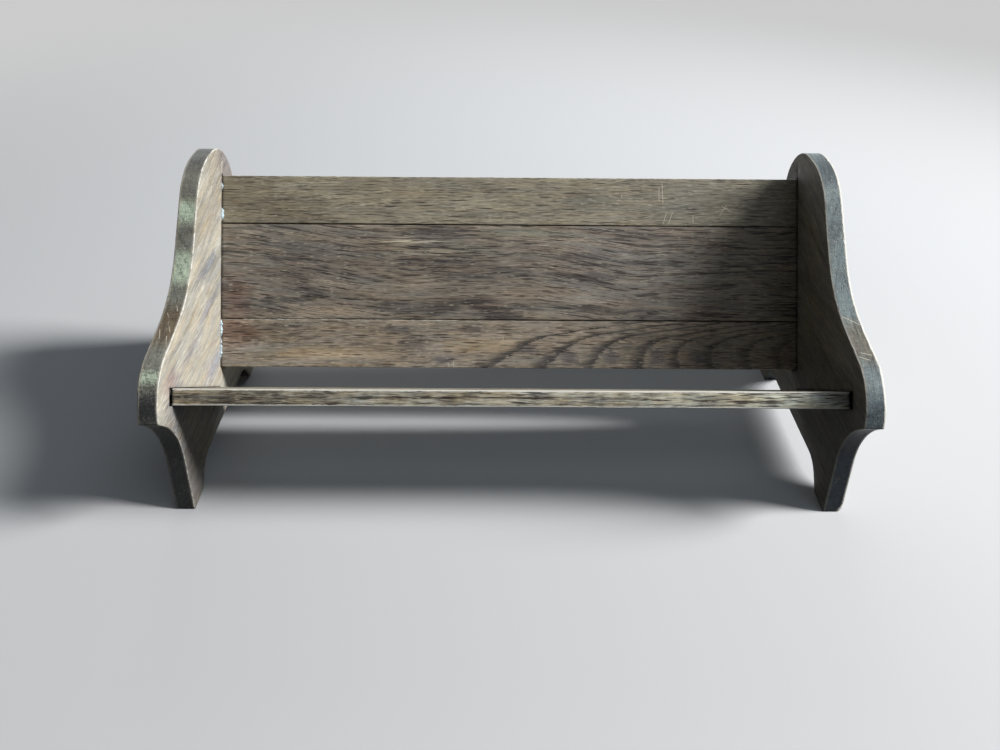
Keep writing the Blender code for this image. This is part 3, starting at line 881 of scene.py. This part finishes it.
class Graph:
    """The nodes of a material or world, put together by short calls that give output sockets."""

    def __init__(self, owner, seed=0.0, shader="Principled BSDF"):
        owner.use_nodes = True
        self.owner = owner
        self.seed = seed
        self.tree = owner.node_tree
        self.shader = self.tree.nodes[shader]

    def node(self, kind, inputs, **settings):
        node = self.tree.nodes.new("ShaderNode" + kind)
        for setting, value in settings.items():
            setattr(node, setting, value)
        for socket, value in inputs.items():
            self.put(node.inputs[socket], value)
        return node

    def put(self, socket, value):
        if isinstance(value, bpy.types.NodeSocket):
            self.tree.links.new(value, socket)
        else:
            socket.default_value = value

    def finish(self, inputs):
        """Sets or links the shader's inputs, and gives the material or world."""
        for socket, value in inputs.items():
            self.put(self.shader.inputs[socket], value)
        return self.owner

    def place(self):
        """The object's own coordinates in metres."""
        return self.node("TexCoord", {}).outputs["Object"]

    def seen(self):
        """1 for rays that show a surface to the camera, directly or reflected, 0 for the rest."""
        path = self.node("LightPath", {}).outputs
        reflected = self.most(path["Is Glossy Ray"], path["Is Transmission Ray"])
        return self.most(path["Is Camera Ray"], reflected)

    def math(self, operation, first, second=0.0):
        return self.node("Math", {0: first, 1: second}, operation=operation).outputs[0]

    def times(self, first, second):
        return self.math("MULTIPLY", first, second)

    def most(self, first, second):
        return self.math("MAXIMUM", first, second)

    def vector(self, operation, first, second):
        inputs = {0: first, 1: second}
        return self.node("VectorMath", inputs, operation=operation).outputs["Vector"]

    def axes(self, vector):
        """The three parts of a vector: along, across and out of a board's face."""
        return tuple(self.node("SeparateXYZ", {0: vector}).outputs)

    def length(self, vector):
        return self.node("VectorMath", {0: vector}, operation="LENGTH").outputs["Value"]

    def ramp(self, value, low, high, to_low=0.0, to_high=1.0):
        """A smooth step: to_low below low, to_high above high."""
        inputs = {0: value, 1: low, 2: high, 3: to_low, 4: to_high}
        return self.node("MapRange", inputs, interpolation_type="SMOOTHSTEP").outputs[0]

    def sized(self, place, sizes, seed=0.0):
        """The place counted in steps of these sizes, moved by a seed."""
        steps = tuple(1 / size if size else 0.0 for size in sizes)
        inputs = {0: place, 1: steps, 2: (seed, 1.7 * seed, 2.3 * seed)}
        return self.node("VectorMath", inputs, operation="MULTIPLY_ADD").outputs["Vector"]

    def noise(self, place, cloud, fineness=1.0):
        long, wide, deep = cloud.sizes
        sizes = (long, wide * fineness, deep * fineness)
        inputs = {"Vector": self.sized(place, sizes, self.seed + cloud.number), "Scale": 1.0,
                  "Detail": cloud.detail, "Roughness": cloud.roughness}
        return self.node("TexNoise", inputs)

    def cloud(self, place, cloud, fineness=1.0):
        return self.noise(place, cloud, fineness).outputs["Fac"]

    def wander(self, place, cloud, reach):
        """An offset across the grain that changes slowly, up to about half of reach."""
        colour = self.noise(place, cloud).outputs["Color"]
        offset = self.vector("SUBTRACT", colour, (0.5, 0.5, 0.5))
        return self.vector("MULTIPLY", offset, (0.0, reach, reach))

    def dashes(self, place, dash, share, fineness=1.0):
        """1 on dashes that run along the place's X, 0 beside them. Share says how many of the
        cells have a dash."""
        long, wide, number, width = dash
        steps = self.sized(place, (long, wide * fineness, wide * fineness), self.seed + number)
        cells = self.node("TexVoronoi", {"Vector": steps, "Scale": 1.0, "Randomness": 1.0})
        lot = self.node("SeparateColor", {0: cells.outputs["Color"]}).outputs[0]
        shown = self.ramp(self.math("SUBTRACT", share, lot), -0.12, 0.12)
        dash = self.ramp(cells.outputs["Distance"], 0.65 * width, 1.2 * width, 1.0, 0.0)
        return self.times(shown, dash)

    def scratch(self, place, start, end, width):
        """1 along a straight scratch between two places, and 0 beside it."""
        start, reach = Vector(start), Vector(end) - Vector(start)
        offset = self.vector("SUBTRACT", place, start)
        inputs = {0: offset, 1: reach / reach.length_squared}
        share = self.node("VectorMath", inputs, operation="DOT_PRODUCT").outputs["Value"]
        share = self.most(self.math("MINIMUM", share, 1.0), 0.0)
        nearest = self.vector("MULTIPLY", self.join(share, share, share), reach)
        away = self.length(self.vector("SUBTRACT", offset, nearest))
        return self.ramp(away, 0.3 * width, width, 1.0, 0.0)

    def curve(self, value, points):
        """A line through (value, result) points with rising values, level beyond its ends."""
        low, high = points[0][0], points[-1][0]
        top = max(result for place, result in points)
        share = self.scaled(value, 1 / (high - low), -low / (high - low))
        node = self.node("FloatCurve", {"Value": share})
        line = node.mapping.curves[0]
        while len(line.points) < len(points):
            line.points.new(0.5, 0.5)
        for point, (place, result) in zip(line.points, points):
            point.location = ((place - low) / (high - low), result / top)
        node.mapping.update()
        return self.scaled(node.outputs[0], top)

    def scaled(self, value, factor, plus=0.0):
        inputs = {0: value, 1: factor, 2: plus}
        return self.node("Math", inputs, operation="MULTIPLY_ADD").outputs[0]

    def about_half(self, value, reach):
        return self.scaled(value, reach, -reach / 2)

    def join(self, x, y=0.0, z=0.0):
        return self.node("CombineXYZ", {0: x, 1: y, 2: z}).outputs[0]

    def attribute(self, name):
        return self.node("Attribute", {}, attribute_name=name).outputs["Fac"]

    def mix(self, share, first, second, blend="MIX"):
        inputs = {0: share, 6: first, 7: second}
        return self.node("Mix", inputs, data_type="RGBA", blend_type=blend).outputs[2]

    def colours(self, value, stops):
        node = self.node("ValToRGB", {0: value})
        ramp = node.color_ramp
        while len(ramp.elements) < len(stops):
            ramp.elements.new(1.0)
        for element, (place, colour) in zip(ramp.elements, stops):
            element.position = place
            element.color = colour
        return node.outputs[0]

    def total(self, *values):
        result = values[0]
        for value in values[1:]:
            result = self.math("ADD", result, value)
        return result


def grown_wood(graph, plank, grain):
    """Where a place lay in the tree: with its rows of fibres shifted, then warped as well, and
    its distance and way round the heart."""
    rows = graph.cloud(grain, ROWS)
    shift = graph.join(graph.about_half(rows, 4 * plank.jitter))
    shifted = graph.vector("ADD", grain, shift)
    along, across, depth = graph.axes(grain)
    moved = shifted
    for start, end, rise in plank.bends:
        bend = graph.join(0.0, graph.ramp(along, start, end, 0.0, -rise))
        moved = graph.vector("ADD", moved, bend)
    for cloud, reach in ((WAVES, 2 * plank.waviness), (RIPPLES, 1.4 * plank.flow)):
        moved = graph.vector("ADD", moved, graph.wander(grain, cloud, reach))
    if plank.upper_rise:
        rise = graph.times(along, graph.ramp(across, *UPPER_PART, 0.0, -plank.upper_rise))
        moved = graph.vector("ADD", moved, graph.join(0.0, rise))
    across, depth = graph.axes(moved)[1:]
    behind = graph.scaled(depth, 1.0, plank.heart_behind)
    for at_along, at_across, long, wide, rise in plank.eyes:
        offset = graph.vector("SUBTRACT", moved, (at_along, at_across, 0.0))
        reach = graph.length(graph.sized(offset, (long, wide, 0.0)))
        behind = graph.total(behind, graph.ramp(reach, 0.0, 1.0, rise, 0.0))
    across = graph.scaled(across, 1.0, plank.heart_across)
    from_heart = graph.length(graph.join(across, behind))
    return shifted, moved, from_heart, graph.math("ARCTAN2", across, behind)


def swept_rings(graph, plank, moved):
    """Rings that cut a board's lower edge at known places, lean above it and then sweep away.

    Gives the rings' count, and how much of them shows.
    """
    along, across = graph.axes(moved)[:2]
    halfway = graph.math("SUBTRACT", along, graph.curve(across, UPPER_SWEEP))
    reach = graph.most(graph.scaled(halfway, *SWEEP_LEAN), 0.0)
    leaning = graph.times(reach, graph.ramp(across, *LOWER_SWEEP))
    at_edge = graph.math("SUBTRACT", halfway, leaning)
    places = [(x, float(number)) for number, x in enumerate(plank.swept_rings)]
    shown = graph.times(graph.ramp(at_edge, *SWEPT_FROM), graph.ramp(at_edge, *SWEPT_TO))
    return graph.curve(at_edge, places), shown


def early_wood(graph, plank, moved, from_heart):
    """1 in the porous wood that a year's ring begins with, and 0 in the dense rest."""
    if plank.swept_rings:
        count, shown = swept_rings(graph, plank, moved)
        phase = graph.math("FRACT", count)
        early = graph.times(shown, graph.ramp(phase, 1 - plank.band, EARLY_ENDS_AT))
    else:
        drift = graph.scaled(graph.cloud(graph.join(from_heart), RING_DRIFT), 1.6)
        phase = graph.math("FRACT", graph.total(graph.scaled(from_heart, 1 / plank.ring), drift))
        early = graph.ramp(phase, 0.0, plank.band, 1.0, 0.0)
        early = graph.most(early, graph.ramp(phase, *EARLY_BEGINS_AT))
    fading = graph.cloud(moved, Cloud(plank.fading, FADING_NUMBER, 3.0, 0.6))
    return graph.times(early, graph.ramp(fading, *FADED_AT, plank.faded, 1.0))


def with_stains_and_painted_light(graph, plank, colour, shifted, speckle, face, edge):
    """The colour with the stains of a board's faces and of its edges, and the painted light and
    shade among them.
    """
    for stains_and_painted_light, part, raggedness in ((plank.stains_and_painted_light, face, 1.6), (plank.edge_stains_and_painted_light, edge, 0.5)):
        for along, across, long, wide, tint in stains_and_painted_light:
            offset = graph.vector("SUBTRACT", shifted, (along, across, 0.0))
            reach = graph.length(graph.sized(offset, (long / 2, wide / 2, 0.0)))
            reach = graph.total(reach, graph.about_half(speckle, raggedness))
            reach = graph.times(part, graph.ramp(reach, *STAIN_AT, 1.0, 0.0))
            colour = graph.mix(reach, colour, opaque(tint), "MULTIPLY")
    return colour


def oak(name, plank, middle, rotation):
    """Old varnished oak. middle and rotation say how the board lies in the frame."""
    graph = Graph(bpy.data.materials.new(name), plank.seed)
    fine = plank.fineness
    turned = {0: graph.place(), "Location": middle, "Rotation": rotation, "Scale": (MM, MM, MM)}
    grain = graph.node("Mapping", turned, vector_type="TEXTURE").outputs[0]
    shifted, moved, from_heart, way_round = grown_wood(graph, plank, grain)
    early = early_wood(graph, plank, moved, from_heart)
    across, depth = graph.axes(grain)[1:]
    edge = graph.attribute("edge")
    face = graph.scaled(edge, -1.0, 1.0)

    cluster = graph.cloud(moved, CLUSTERS)
    clustered = graph.about_half(cluster, 1.2)
    share = graph.total(plank.pore_share, graph.scaled(early, 0.40), clustered)
    pores = graph.dashes(moved, PORES, share, fine)
    fine_pores = graph.dashes(moved, FINE_PORES, share, fine)
    flecks = graph.dashes(grain, FLECKS, plank.fleck_share)

    fibre = graph.cloud(moved, FIBRES, fine)
    speckle = graph.cloud(moved, SPECKLES, fine)
    streak = graph.cloud(moved, STREAKS)
    patch = graph.cloud(grain, PATCHES)
    front_patch = graph.about_half(graph.cloud(grain, FRONT_PATCHES), plank.front_patches)
    mottle = graph.about_half(graph.cloud(grain, MOTTLES), 0.6)
    lines = graph.total(graph.cloud(moved, LINES, fine),
                        graph.about_half(cluster, 0.42), graph.scaled(early, 0.08))
    lines = graph.ramp(lines, *LINE_AT)
    round_heart = graph.scaled(way_round, abs(plank.heart_behind) + abs(plank.heart_across))
    ray_place = graph.join(graph.axes(moved)[0], round_heart, from_heart)
    rays = graph.ramp(graph.cloud(ray_place, RAYS), *RAY_AT)

    tone = graph.total(
        0.66,
        graph.scaled(early, -0.5 * plank.contrast),
        graph.about_half(fibre, 0.80 * plank.grain_depth),
        graph.about_half(speckle, 0.70 * plank.grain_depth),
        graph.about_half(streak, plank.streak_depth),
        graph.about_half(patch, plank.patch_depth),
        graph.times(graph.ramp(across, *FRONT_EDGE, 1.0, 0.0), front_patch),
        graph.scaled(rays, plank.ray_share),
        graph.times(edge, mottle),
        graph.scaled(edge, -plank.edge_shade),
    )
    last = len(plank.tones) - 1
    colour = graph.colours(tone, [(i / last, srgb(*kind)) for i, kind in enumerate(plank.tones)])
    veil = graph.ramp(graph.cloud(moved, VEILS), *VEIL_AT, 0.0, plank.veil)
    colour = graph.mix(veil, colour, GREY_VEIL)
    warmth = graph.about_half(graph.cloud(moved, WARMTHS), 1.0)
    warmth = graph.times(warmth, graph.scaled(face, 0.8, 0.2))
    warming = graph.join(graph.scaled(warmth, 0.30 * plank.hue, 1.0), 1.0,
                         graph.scaled(warmth, -0.45 * plank.hue, 1.0))
    colour = graph.vector("MULTIPLY", colour, warming)
    colour = with_stains_and_painted_light(graph, plank, colour, shifted, speckle, face, edge)
    colour = graph.mix(graph.scaled(early, plank.contrast * 0.6), colour, RING_COLOUR)
    # Edge tint: darker end grain, painted green sheen on the left end, painted blue reflection on
    # the right
    colour = graph.mix(edge, colour, opaque(plank.edge_tint_and_sheen), "MULTIPLY")
    dark = graph.most(pores, graph.scaled(fine_pores, 0.8))
    dark = graph.most(graph.scaled(dark, plank.pore_depth), graph.scaled(lines, plank.line_depth))
    colour = graph.mix(dark, colour, PORE_COLOUR)
    marks = graph.scaled(flecks, 0.45)
    for start, end in plank.scratches:
        scratch = graph.scratch(grain, start, end, SCRATCH_WIDTH)
        marks = graph.most(marks, graph.scaled(scratch, 0.75))
    colour = graph.mix(marks, colour, FLECK_COLOUR)

    near_joint = graph.ramp(graph.attribute("joint"), *JOINT_AT, plank.joint_grime, 0.0)
    grime = graph.ramp(graph.cloud(grain, GRIMES), *GRIME_AT, LEAST_GRIME, 1.0)
    colour = graph.mix(graph.times(near_joint, grime), colour, GRIME_COLOUR)

    # Pale arrises: partly wear, partly a painted highlight. Paler on the side of an end turned to
    # the window, fainter on the side turned away, and wider on the right end and the shelf.
    rub = graph.scaled(graph.cloud(grain, RUBS), 1.9)
    worn_from, worn_to = (place + plank.rub_and_highlight_reach for place in WORN_AND_HIGHLIGHT_AT)
    edge_distance = graph.total(graph.attribute("arris"), rub)
    worn = graph.ramp(edge_distance, worn_from, worn_to, plank.rubbed, 0.0)
    worn = graph.times(worn, graph.ramp(depth, *SHADED_SIDE_AT, plank.shaded_side_rub, 1.0))
    worn = graph.most(worn, graph.attribute("bare"))
    colour = graph.mix(worn, colour, WORN_AND_HIGHLIGHT_COLOUR)

    rough = graph.total(0.50, graph.scaled(dark, 0.25), graph.about_half(patch, 0.25),
                        graph.scaled(worn, 0.05))
    height = graph.total(graph.scaled(pores, -0.6), graph.scaled(fine_pores, -0.35),
                         graph.scaled(fibre, 0.4))
    bump = graph.node("Bump", {"Strength": 0.8, "Distance": 0.00022, "Height": height}).outputs[0]
    return graph.finish({"Base Color": colour, "Roughness": rough, "Normal": bump,
                         "Specular IOR Level": 0.18})


def make_glue(name, sections):
    """Dried glue in the corner where the back's boards meet the left end."""
    body = bmesh.new()
    face_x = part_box("left_end")[1].x
    for number, (board, start, end, radius) in enumerate(GLUE_RUNS):
        section = sections[board]
        count = max(4, round((end - start) / GLUE_STEP))
        rings = []
        for i in range(count + 1):
            v = start + (end - start) * i / count
            lumps = 0.65 + 0.9 * noise.noise(Vector((v / GLUE_LUMP, 5.0 * number, 0.0)))
            size = radius * max(0.08, lumps * min(1.0, 4 * i / count, 4 * (1 - i / count)))
            ring = []
            for k in range(GLUE_SIDES):
                turn = 2 * pi * k / GLUE_SIDES
                out = size * (1 + 0.25 * noise.noise(Vector((v / GLUE_LUMP * 2, turn, number))))
                height = section.half_thickness + GLUE_HEIGHT * out * sin(turn)
                place = section.world(face_x, v, height)
                aside = Vector((GLUE_WIDTH * out * cos(turn), 0.0, 0.0))
                ring.append(body.verts.new(place + aside))
            rings.append(ring)
        add_tube(body, rings)
    graph = Graph(bpy.data.materials.new(name), GLUE_SEED)
    place = graph.vector("MULTIPLY", graph.place(), (1 / MM, 1 / MM, 1 / MM))
    cloudy = graph.cloud(place, GLUE_CLOUDS)
    colour = graph.mix(graph.ramp(cloudy, 0.35, 0.65, 0.0, 0.6), GLUE_COLOUR, GREY_VEIL)
    rough = graph.ramp(cloudy, 0.3, 0.7, 0.25, 0.55)
    material = graph.finish({"Base Color": colour, "Roughness": rough})
    smooth_piece(name, body).data.materials.append(material)


def make_trough():
    sections = {}
    for number, (node, slot, settings) in enumerate(BOARDS):
        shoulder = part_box("right_end")[0].x - FIT if node == "shelf_board" else None
        seed = BOARD_SEEDS[0] + BOARD_SEEDS[1] * number
        piece, section = make_board(node + "_worn", node, slot, seed, shoulder=shoulder, **settings)
        middle = section.world(0.0, 0.0, 0.0)
        material = oak(node + "_oak", PLANKS[node], middle, (section.tilt, 0.0, 0.0))
        piece.data.materials.append(material)
        sections[node] = section
    make_glue("dried_glue", sections)
    back = sections["back_top_board"]
    for node, side, seed, wear in ENDS:
        piece = make_end(node + "_worn", node, side, seed, wear, back)
        low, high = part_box(node)
        material = oak(node + "_oak", PLANKS[node], (low + high) / 2, END_AXES.to_euler())
        piece.data.materials.append(material)


def make_floor():
    body = bmesh.new()
    bmesh.ops.create_circle(body, cap_ends=True, segments=FLOOR_SIDES, radius=FLOOR_REACH)
    floor = placed("floor", as_mesh("floor", body))
    graph = Graph(bpy.data.materials.new("pale_floor"))
    seen = graph.seen()
    grey = graph.scaled(seen, FLOOR_GREY - FLOOR_BOUNCE, FLOOR_BOUNCE)
    grey = graph.join(grey, grey, grey)
    material = graph.finish({"Base Color": grey, "Roughness": 0.9, "Specular IOR Level": 0.1})
    shine = {"Color": opaque((BACKDROP_GREY,) * 3), "Strength": seen}
    backdrop = graph.node("Emission", shine).outputs[0]
    away = graph.ramp(graph.length(graph.place()), FLOOR_FADES_FROM, FLOOR_FADES_TO)
    surfaces = {0: away, 1: graph.shader.outputs[0], 2: backdrop}
    mixed = graph.node("MixShader", surfaces).outputs[0]
    graph.put(graph.tree.nodes["Material Output"].inputs["Surface"], mixed)
    floor.data.materials.append(material)


def add_light(name, direction, distance, size, power, colour):
    lamp = bpy.data.lights.new(name, "AREA")
    lamp.shape = "ELLIPSE"
    lamp.size, lamp.size_y = size
    lamp.energy = power
    lamp.color = colour
    light = placed(name, lamp)
    towards = Vector(direction).normalized()
    light.location = Vector(LIGHT_AIM) + distance * towards
    light.rotation_euler = towards.to_track_quat("Z", "Y").to_euler()


def light_scene():
    add_light("window", KEY_DIRECTION, KEY_DISTANCE, KEY_SIZE, KEY_POWER, KEY_COLOUR)
    add_light("fill", FILL_DIRECTION, FILL_DISTANCE, FILL_SIZE, FILL_POWER, FILL_COLOUR)
    add_light("rear", REAR_DIRECTION, REAR_DISTANCE, REAR_SIZE, REAR_POWER, FILL_COLOUR)
    graph = Graph(bpy.data.worlds.new("sky"), shader="Background")
    light = opaque(SKY_STRENGTH * share for share in SKY_COLOUR)
    colour = graph.mix(graph.seen(), light, opaque((BACKDROP_GREY,) * 3))
    bpy.context.scene.world = graph.finish({"Color": colour})


def add_camera():
    lens = bpy.data.cameras.new("camera")
    lens.sensor_width = SENSOR_WIDTH
    lens.lens = FOCAL_PIXELS * SENSOR_WIDTH / IMAGE_WIDTH
    camera = placed("camera", lens)
    turn = Matrix.Rotation(-CAMERA_TURN, 4, "Z")
    down = Matrix.Rotation(pi / 2 - CAMERA_DOWN, 4, "X")
    roll = Matrix.Rotation(CAMERA_ROLL, 4, "Z")
    camera.matrix_world = Matrix.Translation(CAMERA_PLACE) @ turn @ down @ roll
    bpy.context.scene.camera = camera


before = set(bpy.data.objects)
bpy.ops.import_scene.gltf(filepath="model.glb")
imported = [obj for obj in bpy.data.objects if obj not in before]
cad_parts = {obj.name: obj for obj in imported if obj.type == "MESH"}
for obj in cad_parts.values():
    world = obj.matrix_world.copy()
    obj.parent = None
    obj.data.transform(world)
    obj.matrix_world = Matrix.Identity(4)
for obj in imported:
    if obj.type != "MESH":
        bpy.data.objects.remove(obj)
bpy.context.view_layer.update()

add_camera()
light_scene()
make_floor()
make_trough()
bpy.context.scene.view_settings.view_transform = "Standard"

bpy.context.view_layer.update()
